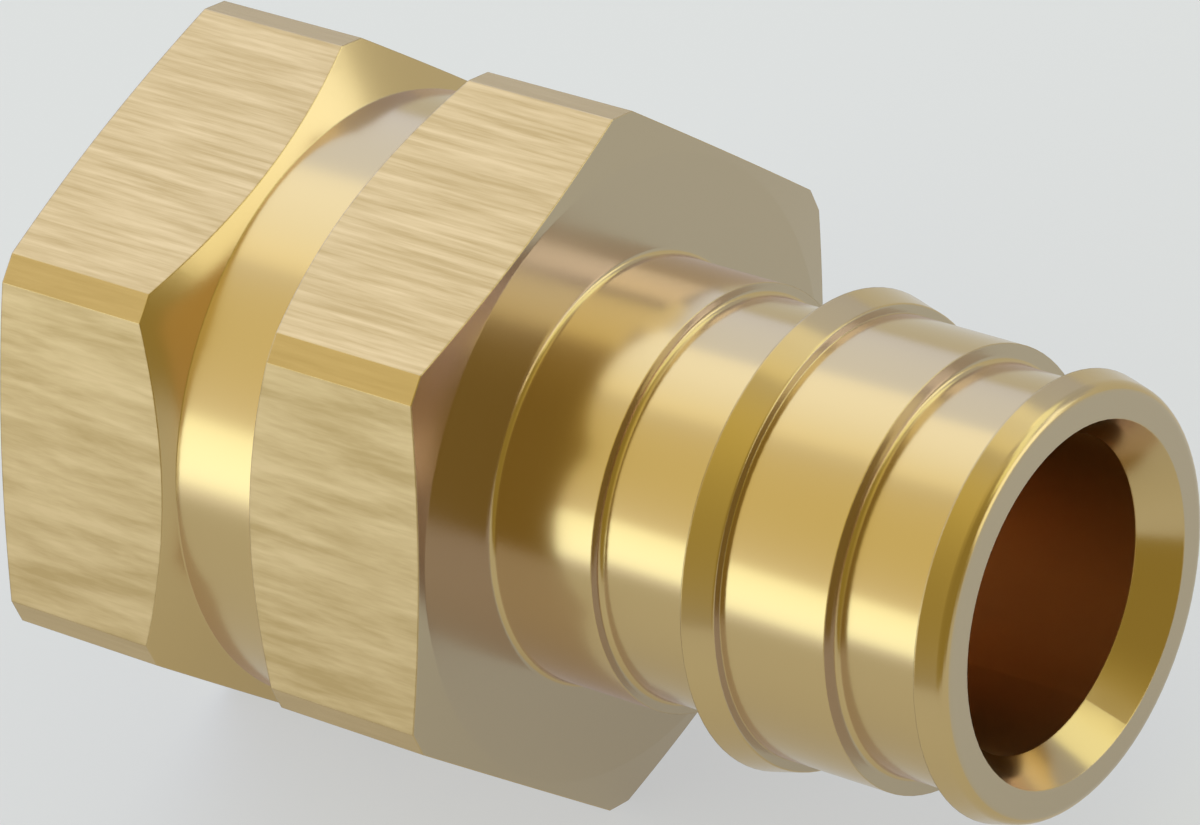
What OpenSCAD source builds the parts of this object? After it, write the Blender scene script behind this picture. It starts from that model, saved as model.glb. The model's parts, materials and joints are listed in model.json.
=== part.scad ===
// Adapter from a flexible water tube to a male pipe thread, turned from one brass hex bar.
// The axis is +X, from the threaded end towards the tube spigot. The origin lies on the axis,
// in the stop face that the tube's end comes up against. Two hex flats face up and down.

/* [Pipe socket] */
// Diameter at the bottom of the thread grooves, which is the socket's wall
socket_d = 26.55; // [20:0.05:34]
// Depth of the socket's straight wall, from the end face
socket_depth = 14.9; // [9:0.1:17]
// Width of the 45 degree chamfer in the socket's mouth
socket_chamfer = 0.5; // [0.2:0.05:0.9]
// Angle of the drill cone between the socket and the waterway, from the axis
drill_cone_angle = 59; // [45:1:70]

/* [Hex body] */
// Wall between the socket and the turned neck
neck_wall = 1.375; // [0.8:0.025:3]
// Height of the wrench flats above the neck
flat_height = 0.6; // [0.3:0.05:1.5]
// Depth of metal missing from each corner of the hex bar
corner_trim = 0.41; // [0.1:0.01:1]
// Length of the threaded end's hex along its flats, from the end face to the neck chamfer
rear_hex_length = 9.85; // [7:0.05:14]
// Distance between the two hexes, from flat to flat
neck_length = 5.2; // [3:0.05:8]
// Length of the spigot side's hex along its flats, from the neck chamfer to the stop face
front_hex_length = 9.85; // [7:0.05:14]
// Angle of the steep chamfers beside the neck, from a plane square to the axis
neck_chamfer_angle = 30; // [20:1:40]
// Angle of the shallow chamfers on the outer hex ends, from a plane square to the axis
end_chamfer_angle = 10.5; // [5:0.5:20]
// Distance from the wrench flats in to the rim of the flat end faces
end_face_inset = 0.375; // [0.1:0.025:0.6]

/* [Spigot] */
// Diameter of the sealing barrel between the ribs, and over the tip rib's back edge
barrel_d = 20.8; // [17:0.05:24]
// Depth of the two grooves below the barrel, behind the large rib and behind the tip rib
groove_depth = 0.875; // [0.6:0.025:1.4]
// Depth of the shoulder below the barrel
shoulder_depth = 0.275; // [0:0.025:0.3]
// Height of the large rib's sharp back edge above the barrel
large_rib_height = 0.85; // [0.75:0.05:2]
// Length of the shoulder, from the stop face to its small step
shoulder_length = 5.65; // [2:0.05:9]
// Length of the groove between the shoulder and the large rib
rear_groove_length = 5.8; // [2:0.05:9]
// Width of the large rib
large_rib_width = 1.55; // [1.1:0.05:2]
// Rounding of the large rib's front edge
large_rib_rounding = 0.1; // [0.05:0.05:0.3]
// Length of the sealing barrel
barrel_length = 5.65; // [2:0.05:9]
// Length of the groove between the barrel and the tip rib
front_groove_length = 4.75; // [2:0.05:9]
// Width of the tip rib
tip_rib_width = 1.5; // [1.1:0.05:2.5]
// Rounding of the tip's outer edge
tip_rounding = 0.6; // [0.2:0.05:0.8]
// Angle at which the ribs taper towards the tip, from the axis
rib_taper_angle = 14; // [8:1:18]
// Radius that the turning tool leaves in the corners of the grooves and the stop face
root_radius = 0.3; // [0.1:0.05:0.4]

/* [Waterway] */
// Wall between the grooves and the waterway
spigot_wall = 2.15; // [1.5:0.05:3.5]
// Width of the countersink in the tip's end face
countersink_width = 1.1; // [0.5:0.05:1.4]
// Angle of the countersink, from the axis
countersink_angle = 30; // [20:1:45]

/* [Hidden] */
// Facets of the turned surfaces
$fn = 180;
// Straight pieces in the arc of a rounded edge or inside corner
arc_steps = 6;
// How far cutting shapes reach past the faces that they cut
overcut = 1;
brass = [0.80, 0.68, 0.40];

// Half the angle that one side of a hexagon spans
hex_half_angle = 30;

// Radii from the socket outwards
socket_r = socket_d / 2;
neck_r = socket_r + neck_wall;
flat_r = neck_r + flat_height;
end_face_r = flat_r - end_face_inset;
trim_r = flat_r / cos(hex_half_angle) - corner_trim;
// Radius of a turned blank that clears every corner of the hex
blank_r = trim_r + overcut;

// Radii from the barrel inwards
barrel_r = barrel_d / 2;
shoulder_r = barrel_r - shoulder_depth;
groove_r = barrel_r - groove_depth;
waterway_r = groove_r - spigot_wall;
countersink_r = waterway_r + countersink_width;

// Places along the axis, from the stop face at 0
front_flat_start = -front_hex_length;
rear_flat_end = front_flat_start - neck_length;
end_x = rear_flat_end - rear_hex_length;
large_rib_start = shoulder_length + rear_groove_length;
large_rib_end = large_rib_start + large_rib_width;
barrel_end = large_rib_end + barrel_length;
tip_rib_start = barrel_end + front_groove_length;
tip_x = tip_rib_start + tip_rib_width;

// How far a chamfer cone advances along the axis for each millimetre of radius
neck_slope = tan(neck_chamfer_angle);
end_slope = tan(end_chamfer_angle);
// Length along the axis of a neck chamfer, between a flat's middle and the neck
neck_chamfer_length = flat_height * neck_slope;

// Points of a profile are written as [distance along the axis, radius].
function arc(x, r, radius, from, to) =
    [for (i = [0 : arc_steps])
        let (a = from + (to - from) * i / arc_steps)
        [x + radius * cos(a), r + radius * sin(a)]];

// Inside corner where a face square to the axis, on the left, meets a cylinder on its right
function root_right(x, r) = arc(x + root_radius, r + root_radius, root_radius, 180, 270);

// Inside corner where a cylinder meets a face square to the axis on its right
function root_left(x, r) = arc(x - root_radius, r + root_radius, root_radius, 270, 360);

// Radius at the centre of a rib's rounded front edge
function front_edge_r(width, back_r, rounding) =
    back_r - (width - rounding) * tan(rib_taper_angle) - rounding / cos(rib_taper_angle);

// Tapered land of a rib, from its sharp back edge to its rounded front edge
function land(back, width, back_r, rounding) =
    concat(
        [[back, back_r]],
        arc(
            back + width - rounding,
            front_edge_r(width, back_r, rounding),
            rounding,
            90 - rib_taper_angle,
            0
        )
    );

// Solid of revolution about the X axis
module turned(points) {
    rotate([0, 90, 0])
        rotate_extrude()
            polygon([for (p = points) [p[1], p[0]]]);
}

// Hex bar along X with two flats level and its six corners trimmed by small flats
module hex_bar(from, to) {
    translate([from, 0, 0])
        rotate([0, 90, 0])
            intersection() {
                rotate([0, 0, hex_half_angle])
                    cylinder(h = to - from, r = flat_r / cos(hex_half_angle), $fn = 6);
                cylinder(h = to - from, r = trim_r / cos(hex_half_angle), $fn = 6);
            }
}

// Hex of the threaded end: a shallow chamfer at the end face, a steep one at the neck
module rear_hex() {
    neck_side = rear_flat_end + neck_chamfer_length;
    intersection() {
        hex_bar(end_x, neck_side);
        turned([
            [end_x, 0],
            [end_x, end_face_r],
            [end_x + (blank_r - end_face_r) * end_slope, blank_r],
            [rear_flat_end - (blank_r - flat_r) * neck_slope, blank_r],
            [neck_side, neck_r],
            [neck_side, 0]
        ]);
    }
}

// Hex of the spigot side, chamfered the other way round
module front_hex() {
    neck_side = front_flat_start - neck_chamfer_length;
    intersection() {
        hex_bar(neck_side, 0);
        turned([
            [neck_side, 0],
            [neck_side, neck_r],
            [front_flat_start + (blank_r - flat_r) * neck_slope, blank_r],
            [-(blank_r - end_face_r) * end_slope, blank_r],
            [0, end_face_r],
            [0, 0]
        ]);
    }
}

// Plain turned neck, which reaches into both hexes
module neck() {
    turned([
        [rear_flat_end - overcut, 0],
        [rear_flat_end - overcut, neck_r],
        [front_flat_start + overcut, neck_r],
        [front_flat_start + overcut, 0]
    ]);
}

// Spigot that the widened tube shrinks onto: shoulder, groove, large rib, barrel, groove, tip rib
module spigot() {
    turned(concat(
        [[-overcut, 0], [-overcut, shoulder_r + root_radius]],
        root_right(0, shoulder_r),
        [[shoulder_length, shoulder_r]],
        root_right(shoulder_length, groove_r),
        root_left(large_rib_start, groove_r),
        land(large_rib_start, large_rib_width, barrel_r + large_rib_height, large_rib_rounding),
        [[large_rib_end, barrel_r], [barrel_end, barrel_r]],
        root_right(barrel_end, groove_r),
        root_left(tip_rib_start, groove_r),
        land(tip_rib_start, tip_rib_width, barrel_r, tip_rounding),
        [[tip_x, 0]]
    ));
}

// Pipe socket, with the drill cone that leads into the waterway
module socket_cut() {
    wall_end = end_x + socket_depth;
    cone_end = wall_end + (socket_r - waterway_r) / tan(drill_cone_angle);
    turned([
        [end_x - overcut, 0],
        [end_x - overcut, socket_r + socket_chamfer + overcut],
        [end_x + socket_chamfer, socket_r],
        [wall_end, socket_r],
        [cone_end, waterway_r],
        [cone_end, 0]
    ]);
}

// Waterway through the spigot, opened by a countersink at the tip
module waterway_cut() {
    sink_depth = countersink_width / tan(countersink_angle);
    turned([
        [end_x + socket_depth, 0],
        [end_x + socket_depth, waterway_r],
        [tip_x - sink_depth, waterway_r],
        [tip_x + overcut, countersink_r + overcut * tan(countersink_angle)],
        [tip_x + overcut, 0]
    ]);
}

// The whole adapter, one solid
module adapter_body() {
    color(brass)
        difference() {
            union() {
                rear_hex();
                neck();
                front_hex();
                spigot();
            }
            socket_cut();
            waterway_cut();
        }
}

adapter_body();
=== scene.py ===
# %% [markdown]
# # A turned brass tube adapter
#
# The part is one piece of brass: a hex bar that was drilled and tapped at one end and turned down
# to a ribbed spigot at the other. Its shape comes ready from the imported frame, in metres, with its
# axis along X. What is left to make here is the thread in the socket, the finish of each kind of
# surface, and the light that the metal reflects.

# %% Load the frame
import json
import math

import bmesh
import bpy
from mathutils import Matrix, Vector


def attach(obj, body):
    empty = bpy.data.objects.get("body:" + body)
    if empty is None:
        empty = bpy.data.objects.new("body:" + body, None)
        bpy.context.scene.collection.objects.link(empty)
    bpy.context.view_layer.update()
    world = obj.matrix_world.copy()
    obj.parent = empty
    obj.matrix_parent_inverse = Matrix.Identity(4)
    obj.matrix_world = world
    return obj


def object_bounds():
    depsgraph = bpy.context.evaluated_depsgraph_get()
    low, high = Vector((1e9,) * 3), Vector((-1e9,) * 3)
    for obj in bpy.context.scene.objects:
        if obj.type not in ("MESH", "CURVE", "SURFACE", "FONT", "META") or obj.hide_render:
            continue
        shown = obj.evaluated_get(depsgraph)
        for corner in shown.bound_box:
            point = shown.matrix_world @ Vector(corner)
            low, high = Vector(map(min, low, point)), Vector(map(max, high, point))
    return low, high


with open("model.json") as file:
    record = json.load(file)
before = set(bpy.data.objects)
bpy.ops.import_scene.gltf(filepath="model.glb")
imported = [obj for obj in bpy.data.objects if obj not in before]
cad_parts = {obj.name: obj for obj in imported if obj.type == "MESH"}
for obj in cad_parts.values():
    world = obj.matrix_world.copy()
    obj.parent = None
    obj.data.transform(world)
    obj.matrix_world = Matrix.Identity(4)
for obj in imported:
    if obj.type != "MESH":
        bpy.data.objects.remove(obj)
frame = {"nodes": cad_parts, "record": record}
adapter = frame["nodes"]["adapter_body"]
cad_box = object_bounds()
MM = 0.001
print("the adapter spans", [round((hi - lo) / MM, 2) for lo, hi in zip(*cad_box)], "mm")


# %% [markdown]
# ## The camera
#
# The photograph was taken from far away with a long lens, so the lines along the part stay nearly
# parallel. The place and the turn of the camera are written as the three directions of its
# own axes, because a camera that is rolled a little is hard to write with a target point alone.
# The frame is 36 mm wide, as on a common full-frame camera.

# %% Camera
FRAME_WIDTH_MM = 36.0
LENS_MM = 227.4
CAMERA_PLACE_MM = Vector((193.7, -152.4, 245.0))
VIEW = Vector((-0.56212, 0.44198, -0.69905)).normalized()
PICTURE_UP = Vector((-0.23692, 0.72375, 0.64812))


def make_camera(place, view, up):
    """A camera at a place, looking along view, with up pointing to the top of the picture."""
    right = view.cross(up).normalized()
    true_up = right.cross(view)
    turn = Matrix((right, true_up, -view)).transposed().to_4x4()
    data = bpy.data.cameras.new("camera")
    data.sensor_width = FRAME_WIDTH_MM
    data.lens = LENS_MM
    data.clip_start = 0.01
    camera = bpy.data.objects.new("camera", data)
    camera.matrix_world = Matrix.Translation(place) @ turn
    bpy.context.scene.collection.objects.link(camera)
    return camera


camera = make_camera(CAMERA_PLACE_MM * MM, VIEW, PICTURE_UP)
bpy.context.scene.camera = camera
bpy.context.scene.view_settings.view_transform = "Standard"
print("the camera is", round(camera.location.length / MM), "mm from the origin")


# %% [markdown]
# ## The taper thread
#
# The socket takes a 3/4 inch taper pipe thread: 14 turns to the inch, flanks at 60 degrees to each
# other, and a taper of 1 in 16 on the diameter. In the solid, the socket's wall is a plain cylinder
# at the bottom of the grooves. The ridges that stand on it could be made with a screw modifier, but
# a tap leaves more than a plain helix: the mouth's chamfer cuts the first ridge away along a cone,
# and the last two turns run out to the drilled wall. So the wall is built as a grid: its rows
# follow the helix, and one function says how far each point of it is from the axis.

# %% Sizes of the socket
PITCH_MM = 25.4 / 14
RADIUS_TAPER = 1 / 32
RUN_OUT_TURNS = 2
DRILL_CONE_ANGLE = math.radians(59)
SLICES = 12
FLANK_SLICES = 5
STEPS = 120
SKIN_MM = 0.01

socket = next(m for m in frame["record"]["mounts"] if m["name"] == "pipe_socket")
SOCKET_R_MM = socket["dims"]["r_mm"]
SOCKET_LENGTH_MM = socket["dims"]["length_mm"]
MOUTH_CHAMFER_MM = 0.5
RIDGE_MM = PITCH_MM * FLANK_SLICES / SLICES / math.tan(math.radians(30))
cone_slope = math.tan(DRILL_CONE_ANGLE)
THREAD_END_MM = (RIDGE_MM + SOCKET_LENGTH_MM * cone_slope) / (cone_slope - RADIUS_TAPER)
print("ridges are", round(RIDGE_MM, 2), "mm high,", round(SOCKET_LENGTH_MM / PITCH_MM, 1), "turns")


# %% Shape of the threaded wall
def groove_share(phase):
    """0 on a ridge's crest, 1 in the bottom of the groove, and straight flanks between."""
    slices = phase * SLICES
    if slices < FLANK_SLICES:
        return slices / FLANK_SLICES
    if slices < FLANK_SLICES + 1:
        return 1.0
    return max(0.0, 1 - (slices - FLANK_SLICES - 1) / FLANK_SLICES)


def wall_radius(depth, phase):
    """Distance from the axis, in mm, at a depth past the mouth's chamfer."""
    crest = SOCKET_R_MM - RIDGE_MM - depth * RADIUS_TAPER
    full_depth = min(1.0, max(0.0, (SOCKET_LENGTH_MM - depth) / (RUN_OUT_TURNS * PITCH_MM)))
    threaded = crest + RIDGE_MM * min(groove_share(phase), full_depth)
    return max(threaded, SOCKET_R_MM - depth)


def wall_rows():
    """Rows of (depth, radius) points, once round the axis each: the thread, then the hidden back."""
    count = math.ceil((THREAD_END_MM / PITCH_MM + 1) * SLICES)
    rows = []
    for i in range(count + 1):
        row = []
        for j in range(STEPS + 1):
            depth = PITCH_MM * (i / SLICES - 1 + j / STEPS)
            depth = min(max(depth, 0.0), THREAD_END_MM)
            row.append((depth, wall_radius(depth, i % SLICES / SLICES)))
        rows.append(row)
    back = SOCKET_R_MM + SKIN_MM
    rows.append([(SOCKET_LENGTH_MM, back)] * (STEPS + 1))
    rows.append([(SKIN_MM, back)] * (STEPS + 1))
    return rows


def build_thread():
    """The rows as one closed mesh, smooth along the ridges and sharp on their edges."""
    mesh = bmesh.new()
    mouth = cad_box[0][0] / MM + MOUTH_CHAMFER_MM
    grid = []
    for row in wall_rows():
        line = []
        for j, (depth, radius) in enumerate(row):
            angle = math.tau * j / STEPS
            point = Vector((mouth + depth, radius * math.cos(angle), radius * math.sin(angle)))
            line.append(mesh.verts.new(point * MM))
        grid.append(line)
    for here, there in zip(grid, grid[1:] + grid[:1]):
        for j in range(STEPS):
            mesh.faces.new((here[j], here[j + 1], there[j + 1], there[j]))
    bmesh.ops.remove_doubles(mesh, verts=mesh.verts, dist=1e-6)
    bmesh.ops.dissolve_degenerate(mesh, edges=mesh.edges, dist=1e-6)
    bmesh.ops.recalc_face_normals(mesh, faces=mesh.faces)
    for edge in mesh.edges:
        edge.smooth = len(edge.link_faces) == 2 and edge.calc_face_angle() < math.radians(20)
    for face in mesh.faces:
        face.smooth = True
    data = bpy.data.meshes.new("pipe_thread")
    mesh.to_mesh(data)
    open_edges = sum(len(edge.link_faces) != 2 for edge in mesh.edges)
    mesh.free()
    piece = bpy.data.objects.new("pipe_thread", data)
    bpy.context.scene.collection.objects.link(piece)
    print("thread:", len(data.polygons), "faces,", open_edges, "open edges")
    return piece


pipe_thread = build_thread()
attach(pipe_thread, "root")


# %% [markdown]
# ## Colours and nodes
#
# Colours are written as sRGB hex values, the way a colour picker shows them. The renderer works
# with linear light, so one function turns them. A second function adds a node to a material, sets
# it up and links its inputs, so that each material below reads as a list of steps.

# %% Two helpers
def linear(hex_colour):
    """An sRGB colour such as "#C9AC62" as linear red, green, blue and alpha."""
    parts = [int(hex_colour[i : i + 2], 16) / 255 for i in (1, 3, 5)]
    return [c / 12.92 if c <= 0.04045 else ((c + 0.055) / 1.055) ** 2.4 for c in parts] + [1.0]


def add(tree, kind, inputs=None, **settings):
    """Add a node, set its properties, and fill its inputs with values or with other nodes' outputs."""
    node = tree.nodes.new(kind)
    for name, value in settings.items():
        setattr(node, name, value)
    for key, value in (inputs or {}).items():
        if isinstance(value, bpy.types.NodeSocket):
            tree.links.new(value, node.inputs[key])
        else:
            node.inputs[key].default_value = value
    return node


print("a gold tone in linear light:", [round(c, 3) for c in linear("#C9AC62")])


# %% [markdown]
# ## Finding the surfaces by their shape
#
# One mesh carries four finishes. The wrench flats are the skin of the drawn bar, the round outside
# is turned, the ends towards the tip are faced, and the inside is drilled. Painting them by hand
# would need a UV map. It is simpler to ask each point how far the surface's own plane is from the
# axis, whether the surface faces the axis or away from it, and how much it faces the tip. On a
# wrench flat that distance is exactly half the width across the flats, and nowhere else. The narrow
# faces on the hex's corners are found in the same way, by the width across the corners. The die
# leaves them smoother than the flats, so they get only a share of the drawn skin.

# %% Masks that tell the finishes apart
ACROSS_FLATS_MM = (cad_box[1][2] - cad_box[0][2]) / MM
ACROSS_CORNERS_MM = (cad_box[1][1] - cad_box[0][1]) / MM
PLANE_TOLERANCE_MM = 0.03
CORNER_SHARE = 0.4
LEAN_TOLERANCE = 0.05
BORE_PLANE_BELOW_MM = -0.1
# From the X of a surface's direction, where turned brass goes over into faced brass
FACED_LEAN = (0.88, 0.97)


def surface_place(tree):
    """The point in mm, the point's place across the axis, and the direction of the surface."""
    coordinates = add(tree, "ShaderNodeTexCoord")
    point = add(
        tree, "ShaderNodeVectorMath",
        {0: coordinates.outputs["Object"], "Scale": 1 / MM}, operation="SCALE",
    ).outputs[0]
    axes = add(tree, "ShaderNodeSeparateXYZ", {0: point})
    across = add(tree, "ShaderNodeCombineXYZ", {1: axes.outputs[1], 2: axes.outputs[2]}).outputs[0]
    return point, across, coordinates.outputs["Normal"]


def finish_masks(tree, across, normal, worn):
    """1 on the flats and a share of it on the corners, 1 in the bores, and 1 on the faced ends."""
    plane = add(
        tree, "ShaderNodeVectorMath", {0: across, 1: normal}, operation="DOT_PRODUCT"
    ).outputs["Value"]
    on_flat = add(
        tree, "ShaderNodeMath",
        {0: plane, 1: ACROSS_FLATS_MM / 2, 2: PLANE_TOLERANCE_MM}, operation="COMPARE",
    ).outputs[0]
    on_corner = add(
        tree, "ShaderNodeMath",
        {0: plane, 1: ACROSS_CORNERS_MM / 2, 2: PLANE_TOLERANCE_MM}, operation="COMPARE",
    ).outputs[0]
    skin = add(
        tree, "ShaderNodeMath", {0: on_corner, 1: CORNER_SHARE, 2: on_flat}, operation="MULTIPLY_ADD"
    ).outputs[0]
    lean = add(tree, "ShaderNodeSeparateXYZ", {0: normal}).outputs[0]
    upright = add(
        tree, "ShaderNodeMath", {0: lean, 1: 0.0, 2: LEAN_TOLERANCE}, operation="COMPARE"
    ).outputs[0]
    worn_lean = add(tree, "ShaderNodeSeparateXYZ", {0: worn}).outputs[0]
    flats = add(tree, "ShaderNodeMath", {0: skin, 1: upright}, operation="MULTIPLY").outputs[0]
    faces_axis = add(
        tree, "ShaderNodeMath", {0: plane, 1: BORE_PLANE_BELOW_MM}, operation="LESS_THAN"
    ).outputs[0]
    bores = add(tree, "ShaderNodeMath", {0: faces_axis, 1: upright}, operation="MULTIPLY").outputs[0]
    faced = add(
        tree, "ShaderNodeMapRange",
        {"Value": worn_lean, "From Min": FACED_LEAN[0], "From Max": FACED_LEAN[1]},
        interpolation_type="SMOOTHSTEP",
    ).outputs[0]
    return flats, bores, faced


print("the flats are", round(ACROSS_FLATS_MM, 2), "mm apart, the corners", round(ACROSS_CORNERS_MM, 2))


# %% [markdown]
# ## Drawn, turned, faced and drilled brass
#
# Brass is copper and zinc, and its colour is in its reflection: the metal has no colour of its own
# apart from the tint that it gives to what it mirrors. The turned surfaces are nearly mirrors. The
# flats were pulled through a die, which leaves long fine scratches along the bar. They scatter the
# light, so the flats look paler and streaky. Each scratch could be cut into the mesh, but a noise
# pattern that is stretched along X shows the same for almost nothing. On the flats that lean, the
# streaks are broader than on the level ones, so their width follows how much a flat looks up. The
# drilled walls mirror each other many times over, so their tint is a little lighter than that of
# the outside.
#
# The faces towards the tip were faced, with the tool moving across the bar. Its fine rings scatter
# the light, so they are greyer than the turned cylinders. Where one cut surface mirrors another,
# the two tints would multiply into a dark olive. On the real part what is mirrored stays paler and
# browner, so both kinds get a paler tint for rays that come from another reflection, which Light
# Path's Is Glossy Ray tells.
#
# The edges of a turned part are never quite sharp, and catch the light as a thin bright line. They
# could be bevelled in the mesh, but a Bevel node bends the reflection near them just the same. The
# line stays golden, because a worn edge no longer counts as faced.

# %% Brass
TURNED_BRASS = linear("#C7AD79")
FACED_BRASS = linear("#BDAE92")
MIRRORED_TURNED = linear("#DAC3B0")
MIRRORED_FACED = linear("#DACBC4")
DRILLED_BRASS = linear("#E2B981")
DRAWN_PALE = linear("#C7AD7E")
DRAWN_DARK = linear("#AC9262")
TURNED_ROUGHNESS = 0.18
DRAWN_ROUGHNESS = 0.28
DRILLED_ROUGHNESS = 0.28
# Length of a scratch in the drawn skin, and its widths on the level and on the leaning flats
SCRATCH_LENGTH_MM = 8.0
SCRATCH_WIDTH_LEVEL_MM = 0.38
SCRATCH_WIDTH_LEANING_MM = 0.95
LEANING_FLAT_RISE = 0.5
STREAK_RANGE = (0.34, 0.66)
EDGE_RADIUS_MM = 0.1


def scratches(tree, point, normal):
    """Streaks along the bar, from 0 to 1, which are wider on the flats that lean."""
    rise = add(tree, "ShaderNodeSeparateXYZ", {0: normal}).outputs[2]
    rise = add(tree, "ShaderNodeMath", {0: rise}, operation="ABSOLUTE").outputs[0]
    per_mm = add(
        tree, "ShaderNodeMapRange",
        {
            "Value": rise, "From Min": LEANING_FLAT_RISE,
            "To Min": 1 / SCRATCH_WIDTH_LEANING_MM, "To Max": 1 / SCRATCH_WIDTH_LEVEL_MM,
        },
    ).outputs[0]
    stretch = add(tree, "ShaderNodeCombineXYZ", {0: 1 / SCRATCH_LENGTH_MM, 1: per_mm, 2: per_mm}).outputs[0]
    space = add(tree, "ShaderNodeVectorMath", {0: point, 1: stretch}, operation="MULTIPLY")
    noise = add(
        tree, "ShaderNodeTexNoise",
        {"Vector": space.outputs[0], "Scale": 1.0, "Detail": 4.0, "Roughness": 0.66, "Distortion": 0.15},
    )
    return add(
        tree, "ShaderNodeMapRange",
        {"Value": noise.outputs["Fac"], "From Min": STREAK_RANGE[0], "From Max": STREAK_RANGE[1]},
    ).outputs[0]


def brass_bar():
    """Brass with the drawn, turned, faced and drilled finish, each where its mask is 1."""
    material = bpy.data.materials.new("drawn_and_turned_brass")
    material.use_nodes = True
    tree = material.node_tree
    shader = tree.nodes["Principled BSDF"]
    point, across, normal = surface_place(tree)
    worn = add(tree, "ShaderNodeBevel", {"Radius": EDGE_RADIUS_MM * MM}, samples=6).outputs[0]
    flats, bores, faced = finish_masks(tree, across, normal, worn)

    # In a Mix node for colours, inputs 6 and 7 are the colours and output 2 is the result
    streaks = scratches(tree, point, normal)
    drawn = add(tree, "ShaderNodeMix", {0: streaks, 6: DRAWN_DARK, 7: DRAWN_PALE}, data_type="RGBA")
    reflected = add(tree, "ShaderNodeLightPath").outputs["Is Glossy Ray"]
    cut = add(tree, "ShaderNodeMix", {0: faced, 6: TURNED_BRASS, 7: FACED_BRASS}, data_type="RGBA")
    mirrored = add(
        tree, "ShaderNodeMix", {0: faced, 6: MIRRORED_TURNED, 7: MIRRORED_FACED}, data_type="RGBA"
    )
    outside = add(
        tree, "ShaderNodeMix", {0: reflected, 6: cut.outputs[2], 7: mirrored.outputs[2]}, data_type="RGBA"
    )
    machined = add(
        tree, "ShaderNodeMix", {0: bores, 6: outside.outputs[2], 7: DRILLED_BRASS}, data_type="RGBA"
    )
    colour = add(
        tree, "ShaderNodeMix", {0: flats, 6: machined.outputs[2], 7: drawn.outputs[2]}, data_type="RGBA"
    )
    tree.links.new(colour.outputs[2], shader.inputs["Base Color"])
    shader.inputs["Metallic"].default_value = 1.0

    turned_or_drilled = add(
        tree, "ShaderNodeMapRange",
        {"Value": bores, "To Min": TURNED_ROUGHNESS, "To Max": DRILLED_ROUGHNESS},
    ).outputs[0]
    roughness = add(
        tree, "ShaderNodeMix", {0: flats, 2: turned_or_drilled, 3: DRAWN_ROUGHNESS}, data_type="FLOAT"
    ).outputs[0]
    tree.links.new(roughness, shader.inputs["Roughness"])
    tree.links.new(worn, shader.inputs["Normal"])
    return material


for slot in adapter.material_slots:
    slot.material = brass_bar()
pipe_thread.data.materials.append(adapter.material_slots[0].material)


# %% [markdown]
# ## The floor
#
# The part lies on plain matt card, on one flat of each hex. The card is meant to be an even, pale
# background, in the picture and in the metal's lower half, where it is mirrored. Lit card alone
# turns dark and yellow close to the brass. More light would also wash out the metal, so a share of
# what the camera and the metal see of the card is its plain colour, and the rest is the lit card,
# which keeps the part's shadow.

# %% Floor
FLOOR_WIDTH_M = 4.0
CARD_COLOUR = linear("#E2E5EA")
PLAIN_SHARE = 0.6


def matt_card():
    """Matt card, part of which is its plain colour for the camera and for the metal."""
    material = bpy.data.materials.new("matt_card")
    material.use_nodes = True
    tree = material.node_tree
    lit = tree.nodes["Principled BSDF"]
    lit.inputs["Base Color"].default_value = CARD_COLOUR
    lit.inputs["Roughness"].default_value = 1.0
    lit.inputs["Specular IOR Level"].default_value = 0.0
    plain = add(tree, "ShaderNodeEmission", {"Color": CARD_COLOUR})
    ray = add(tree, "ShaderNodeLightPath").outputs
    seen = add(
        tree, "ShaderNodeMath", {0: ray["Is Camera Ray"], 1: ray["Is Glossy Ray"]}, operation="MAXIMUM"
    )
    seen = add(
        tree, "ShaderNodeMath", {0: seen.outputs[0], 1: ray["Is Transmission Ray"]}, operation="MAXIMUM"
    )
    share = add(tree, "ShaderNodeMath", {0: seen.outputs[0], 1: PLAIN_SHARE}, operation="MULTIPLY")
    mix = add(
        tree, "ShaderNodeMixShader", {0: share.outputs[0], 1: lit.outputs[0], 2: plain.outputs[0]}
    )
    tree.links.new(mix.outputs[0], tree.nodes["Material Output"].inputs["Surface"])
    return material


bpy.ops.mesh.primitive_plane_add(size=FLOOR_WIDTH_M, location=(0, 0, cad_box[0][2]))
floor = bpy.context.object
floor.name = "floor"
floor.data.materials.append(matt_card())
print("the floor is", round(cad_box[0][2] / MM, 2), "mm below the axis")


# %% [markdown]
# ## The studio
#
# Polished metal shows what is round it, so most of the look of the brass is the studio. Read from
# the bands on the spigot and the neck, there are a few large things in it: a pale wall in front at
# the left, an ochre ceiling, a bright and cool wall behind, and a dark side at the right. These are
# the world, as wide, soft patches of tone, each round one direction. An image of a real studio could
# do the same, but these patches can be moved and named. Each patch is mixed over those before it.

# %% Walls and ceiling
def direction(azimuth, elevation):
    """Azimuth 0 is in front of the part, at -Y, and 90 is at +X, beyond the tip."""
    a = math.radians(azimuth)
    e = math.radians(elevation)
    return Vector((math.sin(a) * math.cos(e), -math.cos(a) * math.cos(e), math.sin(e)))


def tone_patch(tree, below, centre, far, near, colour):
    """Mix a colour over the tones so far, from nothing at far to all at near degrees off the centre."""
    seen = add(tree, "ShaderNodeTexCoord").outputs["Generated"]
    nearness = add(tree, "ShaderNodeVectorMath", {0: seen, 1: centre}, operation="DOT_PRODUCT")
    share = add(
        tree, "ShaderNodeMapRange",
        {
            "Value": nearness.outputs["Value"],
            "From Min": math.cos(math.radians(far)),
            "From Max": math.cos(math.radians(near)),
        },
        interpolation_type="SMOOTHSTEP",
    )
    mix = add(tree, "ShaderNodeMix", {0: share.outputs[0], 6: below, 7: linear(colour)}, data_type="RGBA")
    return mix.outputs[2]


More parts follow.
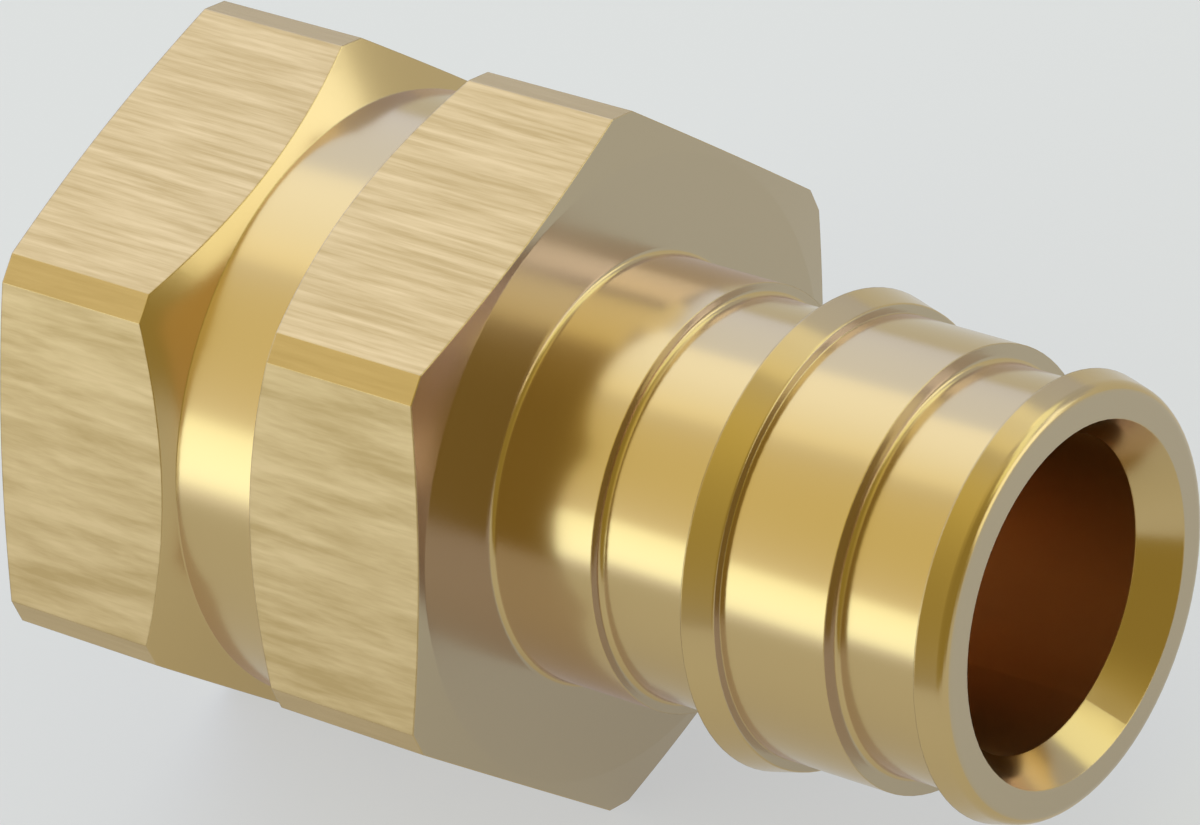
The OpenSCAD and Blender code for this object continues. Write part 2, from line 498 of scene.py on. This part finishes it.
WALL_STRENGTH = 2.0
ROOM_TONE = linear("#959BAE")
world = bpy.data.worlds.new("studio")
bpy.context.scene.world = world
world.use_nodes = True
studio = world.node_tree
tones = add(studio, "ShaderNodeRGB")
tones.outputs[0].default_value = ROOM_TONE
front_wall = tone_patch(studio, tones.outputs[0], direction(-65, 26), 48, 30, "#D3D8EA")
ceiling = tone_patch(studio, front_wall, direction(17, 63), 76, 14, "#B4AB6D")
back_wall = tone_patch(studio, ceiling, direction(-121, 19), 49, 16, "#C1CFFB")
dark_side = tone_patch(studio, back_wall, direction(53, 18), 85, 36, "#7D7241")
background = studio.nodes["Background"]
studio.links.new(dark_side, background.inputs["Color"])
background.inputs["Strength"].default_value = WALL_STRENGTH
print("the room's own tone is", [round(c * WALL_STRENGTH, 2) for c in ROOM_TONE[:3]])


# %% [markdown]
# ## The lamps
#
# Four flat lamps make what is brighter than the walls. A long low strip in front and to the left
# gives the sharp highlight along the spigot. A lamp above and behind gives the pale band on top and
# lights the upper flats. At the right and behind, a high one is seen in the countersink at the tip,
# and a low one in the cones between the hexes. Each has the size that it takes up as seen from the
# part, in degrees.

# %% Lamps
LAMP_DISTANCE_M = 1.0


def softbox(name, azimuth, elevation, wide, high, colour, radiance):
    """A lamp that faces the part and shines evenly, with the radiance that a mirror shows."""
    data = bpy.data.lights.new(name, "AREA")
    data.shape = "RECTANGLE"
    data.size = 2 * LAMP_DISTANCE_M * math.tan(math.radians(wide / 2))
    data.size_y = 2 * LAMP_DISTANCE_M * math.tan(math.radians(high / 2))
    data.color = linear(colour)[:3]
    data.energy = radiance * math.pi * data.size * data.size_y
    lamp = bpy.data.objects.new(name, data)
    away = direction(azimuth, elevation)
    turn = away.to_track_quat("Z", "Y").to_matrix().to_4x4()
    lamp.matrix_world = Matrix.Translation(away * LAMP_DISTANCE_M) @ turn
    bpy.context.scene.collection.objects.link(lamp)
    print(name, "is", round(data.size, 2), "by", round(data.size_y, 2), "m")


softbox("front_strip", -42, 14, 46, 20, "#DEFBFF", 1.1)
softbox("overhead", -141, 50, 58, 30, "#FFFDB9", 0.52)
softbox("right_back", 145, 37, 66, 25, "#F3FFCB", 1.0)
softbox("right_side", 121, 9, 53, 21, "#F4FFFD", 1.4)
